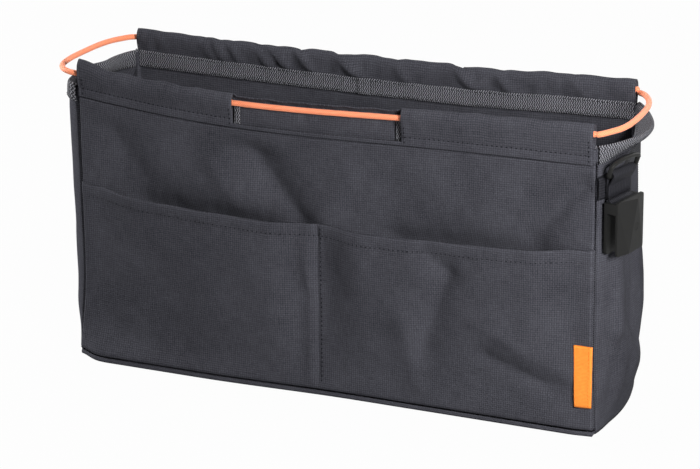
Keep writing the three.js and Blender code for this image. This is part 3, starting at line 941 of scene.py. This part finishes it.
# Waves with their seed in front
pocket_wave = (41, 0.35, 48)
pocket_crimp = (42, 0.14, 12, 0.6)
hem_pucker = (43, 0.3, 7, 0.2)
pocket_folds = [
    ((-19, 112), (-15, 84), 5, 1.6),
    ((29, 112), (21, 87), 13, 1.6),
    ((75, 119), (89, 106), 8, -2.4),
    ((89, 106), (72, 50), 9, -3.6),
    ((56, 68), (66, 22), 10, 2.2),
    ((116, 50), (172, 29), 6, -3.0),
    ((126, 66), (172, 44), 8, 2.0),
    ((-150, 105), (-112, 25), 22, -1.8),
    ((-60, 100), (-40, 40), 18, 1.6),
    ((-184, 40), (-150, 22), 8, -1.4),
]
pocket_columns = np.unique(
    np.concatenate([
        np.linspace(-half_width, half_width, 135), np.linspace(-7, 7, 15) + pocket_middle,
        seam_columns, -seam_columns,
    ])
)
pocket_rows = np.linspace(0, 1, 58)[:, None]


def pocket_open(x):
    from_side = half_width - np.abs(x) - pocket_flat_side
    from_middle = np.abs(x - pocket_middle) - pocket_flat_middle
    return ease(np.minimum(from_side, from_middle) / pocket_ramp)


def pocket_mouth(x):
    return pocket_top - pocket_dip * (1 - (x / half_width) ** 2)


def pocket_hem(x, z):
    """The turned edge at the mouth: its step, the groove of its stitches, and puckers below it"""
    down = pocket_mouth(x) - z
    step = hem_step * ramp(down, hem_width + 0.5, hem_width - 0.5)
    pucker = waves(x, z, *hem_pucker) * bump(down - hem_width, hem_pucker_width)
    return step - ridge(down, *hem_groove) + pucker


def pocket_point(x, share, outward=0.0):
    """A point on the pocket: share runs from 0 at its foot to 1 at its mouth"""
    z = wall_foot + (pocket_mouth(x) - wall_foot) * share
    free = ramp(share, 0, 0.1)
    gape = pocket_gape * pocket_open(x) * np.sin(share * np.pi / 2)
    shape = folds(x, z, pocket_folds) + waves(x, z, *pocket_wave) + waves(x, z, *pocket_crimp)
    shape = gape + shape * free * ramp(np.abs(x), half_width, half_width - 16)
    tuck = ridge(x, *pocket_tuck) - ridge(x, *pocket_groove)
    shape = np.maximum(shape, -pocket_deepest) + tuck * free + pocket_hem(x, z) - rolled(x, z)
    return settle(stack(x, -half_depth(z) - pocket_lift - shape - outward, z))


def add_pocket():
    points = pocket_point(pocket_columns, pocket_rows)
    uvs = flat_map(pocket_columns, pocket_mouth(pocket_columns) * pocket_rows)
    add_panel("front_pocket_cloth", "front_pocket", points, uvs)


add_pocket()


# Rim casings: one strip folded over the cord. Points of the fold: inward from the wall's face, height
casing_fold = [
    (-0.9, casing_bottom), (-1.0, rim_height - 3), (-1.5, rim_height + 2), (-2.7, cord_height - 2),
    (-2.5, cord_height + 2.4), (-1.0, cord_height + 5.3), (0.8, cord_height + 6.5), (2.6, cord_height + 5.3),
    (4.0, cord_height + 2.4), (4.2, cord_height - 2), (3.2, rim_height + 2), (2.5, rim_height - 4),
    (2.4, rim_height - 10),
]
casing_line = spline(casing_fold, 5)
casing_run = run_along(casing_line)
casing_crown = int(np.argmax(casing_line[:, 1]))
casing_step = 2.4
casing_outer_push = 0.35
casing_wave = (0.35, 26, 0)
# A wave without its height, which differs between the casings
casing_crimp = (11, 0.3)
casing_groove = (0.5, casing_stitch, 1.1)
gather_dip = 0.14
gather_dip_height = cord_height + 3
window_strip = 3.5
window_ramp = 2.5
front_gathers = [
    ((-66, 214), (-74, 200), 3.5, 1.3),
    ((58, 214), (64, 200), 3.5, 1.2),
    ((-150, 216), (-140, 202), 5, 1.0),
    ((-110, 212), (-104, 200), 4, 0.8),
    ((110, 216), (118, 202), 5, 0.7),
]
back_gathers = [
    ((-134, 219), (-128, 206), 3.0, 3.0),
    ((-123, 219), (-118, 205), 2.8, 3.2),
    ((-112, 219), (-107, 206), 2.8, 3.0),
    ((-91, 220), (-83, 205), 3.2, 4.0),
    ((-78, 220), (-68, 205), 3.4, 4.4),
    ((-58, 220), (-49, 205), 3.2, 4.0),
    ((-29, 221), (-12, 205), 4.0, 5.0),
    ((15, 219), (22, 206), 3.4, 2.6),
    ((60, 221), (72, 207), 3.8, 5.0),
    ((92, 220), (98, 205), 3.6, 3.2),
    ((144, 220), (151, 207), 3.6, 2.8),
]


def casing_shape(place, seam, window, gathers, crimp, flip, window_rise, seed):
    """A function that places points of a casing, whose cloth gathers between its seam and its crown"""

    def lifted(x, z):
        inside = ramp(x, window[0], window[0] + window_ramp) * ramp(x, window[1], window[1] - window_ramp)
        lift = window_rise * inside * ramp(z, cord_height, cord_height + 6)
        tip = flip * ramp(x, -162, -188) * ramp(z, rim_height, rim_height + 14)
        dip = gather_dip * folds(x, np.full(x.shape, gather_dip_height), gathers)
        return tip + waves(x, z, seed + 1, *casing_wave) + lift - dip

    def shape(x, inward, z):
        x, inward, z = np.broadcast_arrays(x, inward, z)
        outside = inward < cord_inward
        loose = ramp(z, rim_height - 3, rim_height + 6)
        push = folds(x, z, gathers) + waves(x, z, seed, crimp, *casing_crimp)
        slant = (seam(x) - casing_bottom) * ramp(z, casing_bottom + 16, casing_bottom + 6) * outside
        away = np.where(outside, casing_outer_push, 1.0)
        groove = ridge(z, *casing_groove) * outside
        return settle(place(x, inward + away * loose * push + groove, z + slant + loose * lifted(x, z)))

    return shape


front_casing = casing_shape(
    front_point, front_seam, front_window, front_gathers,
    crimp=0.35, flip=4.0, window_rise=-1.6, seed=51,
)
back_casing = casing_shape(
    back_point, back_seam, back_window, back_gathers,
    crimp=0.5, flip=0.0, window_rise=0.8, seed=57,
)


def casing_columns(window):
    edges = [-casing_end, *window, casing_end]
    spans = [np.linspace(a, b, round((b - a) / casing_step)) for a, b in zip(edges, edges[1:])]
    return np.unique(np.concatenate(spans))


def add_casing(name, shape, window, turned):
    columns = facing(casing_columns(window), turned)
    points = shape(columns, casing_line[:, :1], casing_line[:, 1:])
    middles = (columns[1:] + columns[:-1]) / 2
    in_window = (middles > window[0]) & (middles < window[1])
    outer = (np.arange(len(casing_line) - 1) < casing_crown) & (casing_run[1:] > window_strip)
    keep = ~(outer[:, None] & in_window)
    uvs = flat_map(columns, casing_run[:, None])
    piece = cloth(f"{name}_casing_cloth", points, uvs, casing_ply, keep, middle=True)
    dress(piece, fabric, "bag", "fabric", f"{name}_casing")


add_casing("front", front_casing, front_window, False)
add_casing("back", back_casing, back_window, True)


# Narrow turned edges at both sides of a window, behind the cord
window_hem_width = 4.6
window_hem_ply = 0.8
window_hem_inward = 0.9
window_hem_lean = 0.5
window_hem_rows = np.linspace(casing_bottom + 1, cord_height - 1.5, 9)[:, None]


def add_window_hems(name, shape, window, turned):
    inward = window_hem_inward + window_hem_lean * ramp(window_hem_rows, rim_height, rim_height + 8)
    for side, start in (("left", window[0]), ("right", window[1] - window_hem_width)):
        columns = facing(start + np.linspace(0, window_hem_width, 5), turned)
        points = shape(columns, inward, window_hem_rows)
        uvs = flat_map(columns, window_hem_rows)
        piece = cloth(f"{name}_window_hem_{side}", points, uvs, window_hem_ply)
        dress(piece, knit, "bag", "tape")


add_window_hems("front", front_casing, front_window, False)
add_window_hems("back", back_casing, back_window, True)


# Binding tape: flat along the long rims, folded over the edges of the end panels
tape_ply = 0.9
tape_bottom = rim_height - 11
tape_top = rim_height + 1.5
tape_inward = 3.3
tape_reach = casing_end + 0.5
tape_rows = np.linspace(tape_bottom, tape_top, 9)[:, None]
tape_crown = 0.35
tape_join = -9.7
lap_half = 5
lap_ply = 0.8 * tape_ply
end_tape_share = 0.985
end_tape_out = 0.9
end_tape_in = -wall_thickness - 0.8
end_tape_narrow = rim_height - 3.5
# Waves with their seed in front
tape_wave = (61, 0.18, 24, 0.4)
end_tape_wave = (67, 0.18, 22, 0.4)
end_tape_fold = [
    (end_tape_out, tape_bottom), (end_tape_out, rim_height - 5), (end_tape_out, rim_height - 1),
    (0, rim_height + 1.2),
    (end_tape_in, rim_height - 1), (end_tape_in, rim_height - 5), (end_tape_in, tape_bottom),
]


def add_long_tape(name, shape, turned, joins):
    up = (tape_rows - tape_bottom) / (tape_top - tape_bottom)
    inward = tape_inward + tape_ply + tape_crown * (1 - (2 * up - 1) ** 4)
    columns = facing(np.linspace(-tape_reach, tape_reach, 150), not turned)
    points = shape(columns, inward + waves(columns, tape_rows, *tape_wave), tape_rows)
    piece = cloth(f"{name}_tape", points, flat_map(columns, tape_rows), tape_ply)
    dress(piece, knit, "bag", "tape", f"rim_tape_{name}")
    for count, middle in enumerate(joins):
        lap = facing(np.linspace(middle - lap_half, middle + lap_half, 9), not turned)
        points = shape(lap, inward + tape_ply, tape_rows)
        patch = cloth(f"{name}_tape_lap_{count}", points, flat_map(lap, tape_rows), lap_ply)
        dress(patch, knit, "bag", "tape")


def add_end_tape(name, end):
    s = np.linspace(-end_tape_share, end_tape_share, 61) * end["side"]
    line = spline(end_tape_fold, 4)
    outward, height = line[:, :1], line[:, 1:]
    up = (height - tape_bottom) / (rim_height - tape_bottom)
    bottom = tape_bottom + (end_tape_narrow - tape_bottom) * ramp(s, -0.95, -0.35)
    height = np.where(outward > 0, bottom + (rim_height - bottom) * up, height)
    height = height + waves(s * end_reach, height, *end_tape_wave)
    points = settle(end_point(end, s, height, outward))
    uvs = flat_map(s * end_reach, run_along(line)[:, None])
    piece = cloth(f"{name}_end_tape", points, uvs, tape_ply, middle=True)
    dress(piece, knit, "bag", "tape", f"rim_tape_{name}")


add_long_tape("front", front_casing, False, [])
add_long_tape("back", back_casing, True, [tape_join])
add_end_tape("right", RIGHT)
add_end_tape("left", LEFT)


# Side label: a ribbon folded in half, its ends in the side seam
label_low, label_high = node_box("side_label")
label_width, _, label_height = label_high - label_low
label_ply = 0.45
label_flat_width = 26.0
label_foot_width = 0.9
label_curl = (0.5, -1, 0.5)
label_curl_turn = 4.2
label_curl_start = 0.4
label_curl_back = 0.1
label_droop = 0.5
label_stitch_inset = 2.4
label_stitch_out = 0.75
# Points of half the fold: across as a share of the width, distance from the middle
label_fold = [(0.0, -0.34), (-0.3, -0.42), (-0.6, -0.4), (-0.85, -0.36), (-0.97, -0.3), (-1.0, 0.0)]


def add_label():
    hinge = pivot("label_flap")
    height = np.linspace(label_low[2], label_high[2], 23)[:, None]
    up = (height - label_low[2]) / label_height
    lean = (base_half_depth - rim_half_depth) / rim_height
    middle = hinge[1] + (height - hinge[2]) * lean
    line = spline(label_fold + [(x, -y) for x, y in label_fold[-2::-1]], 3)
    across, depth = line[:, 0], line[:, 1]
    x = label_high[0] + across * label_width * (label_foot_width + (1 - label_foot_width) * up)
    curl = ridge(across, *label_curl) * np.sin(up * label_curl_turn + label_curl_start)
    y = middle + depth - np.maximum(curl, -label_curl_back)
    points = stack(x, y, height + label_droop * across * (1 - up))
    uvs = flat_map(run_along(line) * label_flat_width / 2, height)
    piece = cloth("side_label_ribbon", points[:, ::-1], uvs[:, ::-1], label_ply, middle=True)
    dress(piece, ribbon, "label", "label", "side_label")
    row = stack(label_high[0] - label_stitch_inset, middle - label_stitch_out, height)[:, 0]
    stitches("label_stitches", [(row, (0, -1, 0))], label_thread, "label", pitch=2.6, length=1.9, radius=0.22)


add_label()


# Webbing band across the right end, thinner along its edges
band_low, band_high = node_box("right_band")
band_middle = (band_low[2] + band_high[2]) / 2
band_flat_half = 5.6
band_edge = 0.25
band_overlap = 0.2
band_out = seam_gap + webbing_ply + 0.25
band_columns = np.linspace(-0.99, 0.99, 61)


def band_point(s, z, outward):
    edge = np.clip(np.abs(z - band_middle) - band_flat_half, 0, None)
    return settle(end_point(RIGHT, s, z, outward - band_edge * edge**2))


def add_band():
    rows = np.linspace(band_low[2] - band_overlap, band_high[2] + band_overlap, 15)[:, None]
    points = band_point(band_columns, rows, band_out)
    uvs = flat_map(band_columns * end_reach, rows)
    dress(cloth("webbing_band", points, uvs, webbing_ply), webbing, "bag", "webbing", "right_band")


add_band()

# Tab, clip strap and ring lie in a frame turned to the ring's axis, placed at the ring or at the clip's hinge
ring_axis = Vector(joints["ring_swing"]["axis"]).normalized()
hardware_along = np.array(ring_axis)
hardware_out = np.array([hardware_along[1], -hardware_along[0], 0])
hardware_axes = np.stack([hardware_out, hardware_along, [0, 0, 1]])
ring_centre = pivot("ring_swing")
clip_hinge = pivot("clip_swing")
ring_loop = 2.35
tab_back = -3.0
tab_front = tab_back + webbing_ply
tab_bottom = clip_hinge[2] + 1.6
tab_stitch_inset = 2
tab_stitch_out = tab_front + webbing_ply / 2 + 0.12
tab_stitch_rows = (tab_bottom + 1.2, ring_centre[2] - 9.4)
clip_bar_out = 5.1
clip_bar_drop = 3.6
strap_loop = 2.6


def hardware_point(origin, out, along, height):
    return stack(out, along, height) @ hardware_axes + [origin[0], origin[1], 0]


def webbing_piece(name, origin, line):
    """A length of webbing along a line of points, each given as out from the origin and height"""
    line = spline(line, 2)
    across = np.linspace(-strap_half, strap_half, 21)
    points = hardware_point(origin, line[:, :1], across, line[:, 1:])
    uvs = flat_map(run_along(line)[:, None], across)
    return cloth(name, points, uvs, webbing_ply, middle=True)


def add_tab():
    height = ring_centre[2]
    line = [(tab_back, tab_bottom), (tab_back, height - 8), (tab_back, height - 2)]
    line += arc((0, height), ring_loop, 180, -50, 15)
    line += [(0.3, height - 4.4), (tab_front + 0.2, height - 7.0)]
    line += [(tab_front, height - 9), (tab_front, tab_bottom)]
    piece = webbing_piece("webbing_tab", ring_centre, line)
    dress(piece, webbing, "bag", "webbing", "right_tab")
    edge = strap_half - tab_stitch_inset
    along = np.linspace(-edge, edge, 12)
    rise = np.linspace(*tab_stitch_rows, 8)
    places = [(along, z) for z in tab_stitch_rows] + [(side, rise) for side in (-edge, edge)]
    rows = [(hardware_point(ring_centre, tab_stitch_out, *place), hardware_out) for place in places]
    stitches("tab_stitches", rows, trim_thread, pitch=2.4, length=1.8, radius=0.26)


def add_strap():
    height = clip_hinge[2]
    line = [(-0.5, height + 0.8), (0.1, height - 0.8), (1.3, height - 2.2)]
    line += arc((clip_bar_out, height - clip_bar_drop), strap_loop, 180, 440, 19)
    line += [(3.0, height - 1.2), (0.7, height + 0.8)]
    piece = webbing_piece("webbing_strap", clip_hinge, line)
    piece.data.materials.append(webbing)
    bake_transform(piece)
    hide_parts("right_clip_strap")


add_tab()
add_strap()

# D-ring: a bar closed by a low arch, with a soft square section
ring_half = 15.3
ring_bar = 2.8
ring_shoulder = 7.0
ring_rise = 4.1
ring_lean = math.radians(20)
ring_corner = 2.0
ring_bar_half = 12
ring_softness = 0.62


def softened(value):
    return np.sign(value) * np.abs(value) ** ring_softness * ring_bar / 2


def ring_path():
    corner = arc((ring_half - ring_corner, ring_corner), ring_corner, -90, 0, 6)
    sweep = np.radians(np.linspace(0, 180, 29))
    arch = [(ring_half * math.cos(a), ring_shoulder + ring_rise * math.sin(a)) for a in sweep]
    left = [(-y, z) for y, z in corner[::-1]]
    bar = [(y, 0) for y in np.linspace(-ring_bar_half, ring_bar_half, 13)]
    return np.array([*corner, *arch, *left, *bar])


def add_ring():
    path = ring_path()
    along = unit(np.roll(path, -1, 0) - np.roll(path, 1, 0))
    normal = np.stack([along[:, 1], -along[:, 0]], axis=1)
    angles = np.linspace(0, 2 * np.pi, 16, endpoint=False)
    flat = path[:, None] + normal[:, None] * softened(np.sin(angles))[None, :, None]
    points = stack(softened(np.cos(angles)), flat[..., 0], flat[..., 1])
    lean = np.array(Matrix.Rotation(ring_lean, 3, ring_axis))
    points = points @ hardware_axes @ lean.T + ring_centre
    rows, count = points.shape[:2]
    closed = np.vstack([points, points[:1]])
    piece = mesh_piece("d_ring", closed, grid_faces(rows + 1, count, closed=True))
    weld(piece)
    dress(piece, plastic, "ring", "plastic", "right_ring")


add_ring()


# Stitching
OUT_FRONT = (0, -1, 0)
OUT_BACK = (0, 1, 0)
casing_stitch_out = -1.85
casing_thread_lift = 0.7
pocket_thread_lift = 0.1
pocket_seam = pocket_middle + 2.4
tape_stitch_inset = 1.6
tape_thread_inward = tape_inward + tape_ply + 0.35
end_tape_stitch = tape_bottom + 1.8
end_tape_threads = ((1.45, 1), (-wall_thickness - 1.35, -1))
band_stitch_inset = 1.5
band_thread_out = seam_gap + webbing_ply + 0.3
# Depth and inset of the dark thread in the side seams, which paints the shade of each seam's slit
seam_shade_thread_depth = 1.5
seam_shade_thread_inset = 0.1
end_stitch_columns = np.linspace(-0.95, 0.95, 80)


def stitch_casings():
    x = np.linspace(-casing_end + 2, casing_end - 2, 260)
    z = np.linspace(casing_bottom + 1, cord_height - 3, 20)
    outer = casing_line[:casing_crown]
    bulge = np.interp(z, outer[:, 1], outer[:, 0]) - casing_thread_lift
    rows = []
    for shape, window, outward in (
        (front_casing, front_window, OUT_FRONT),
        (back_casing, back_window, OUT_BACK),
    ):
        for part in (x[x < window[0] - 1], x[x > window[1] + 1]):
            rows.append((shape(part, casing_stitch_out, casing_stitch), outward))
        for edge in (window[0] - 2.2, window[1] + 2.2, 3 - casing_end, casing_end - 3):
            rows.append((shape(edge, bulge, z), outward))
    stitches("casing_stitches", rows, cloth_thread)


def stitch_pocket():
    x = np.linspace(-half_width + 5, half_width - 5, 260)
    height = pocket_mouth(x) - wall_foot
    hem = pocket_point(x, (height - hem_stitch) / height, pocket_thread_lift)
    share = np.linspace(0.05, 0.98, 60)
    seam = pocket_point(np.full(60, pocket_seam), share, pocket_thread_lift)
    stitches("pocket_stitches", [(hem, OUT_FRONT), (seam, OUT_FRONT)], cloth_thread)


def stitch_tapes():
    rows = []
    x = np.linspace(-182, 182, 240)
    for shape, inside in ((front_casing, OUT_BACK), (back_casing, OUT_FRONT)):
        for z in (tape_bottom + tape_stitch_inset, tape_top - tape_stitch_inset):
            rows.append((shape(x, tape_thread_inward, z), inside))
    height = np.full(len(end_stitch_columns), end_tape_stitch)
    for end in (RIGHT, LEFT):
        for outward, sign in end_tape_threads:
            line = settle(end_point(end, end_stitch_columns, height, outward))
            rows.append((line, (end["side"] * sign, 0, 0)))
    stitches("tape_stitches", rows, trim_thread)


def stitch_band():
    rows = []
    for z in (band_low[2] + band_stitch_inset, band_high[2] - band_stitch_inset):
        height = np.full(len(end_stitch_columns), z)
        rows.append((band_point(end_stitch_columns, height, band_thread_out), (1, 0, 0)))
    stitches("band_stitches", rows, trim_thread)


# Side seams: a close, overlapping row of dark thread sunk into each seam's groove draws the seam as a crisp
# dark line. It is partly thread and partly painted shade of the seam's slit
def side_seam_thread_and_painted_shade():
    z = np.linspace(wall_foot, casing_bottom - 1, 120)
    rows = []
    for side in (-1, 1):
        for place, outward in ((front_point, -1), (back_point, 1)):
            line = settle(place(side * (half_width - seam_shade_thread_inset), seam_shade_thread_depth, z))
            rows.append((line, (side, outward, 0)))
    stitches("seam_thread_painted_shade", rows, cloth_thread, pitch=1.6, length=2.3, radius=0.6)


stitch_casings()
stitch_pocket()
stitch_tapes()
stitch_band()
side_seam_thread_and_painted_shade()
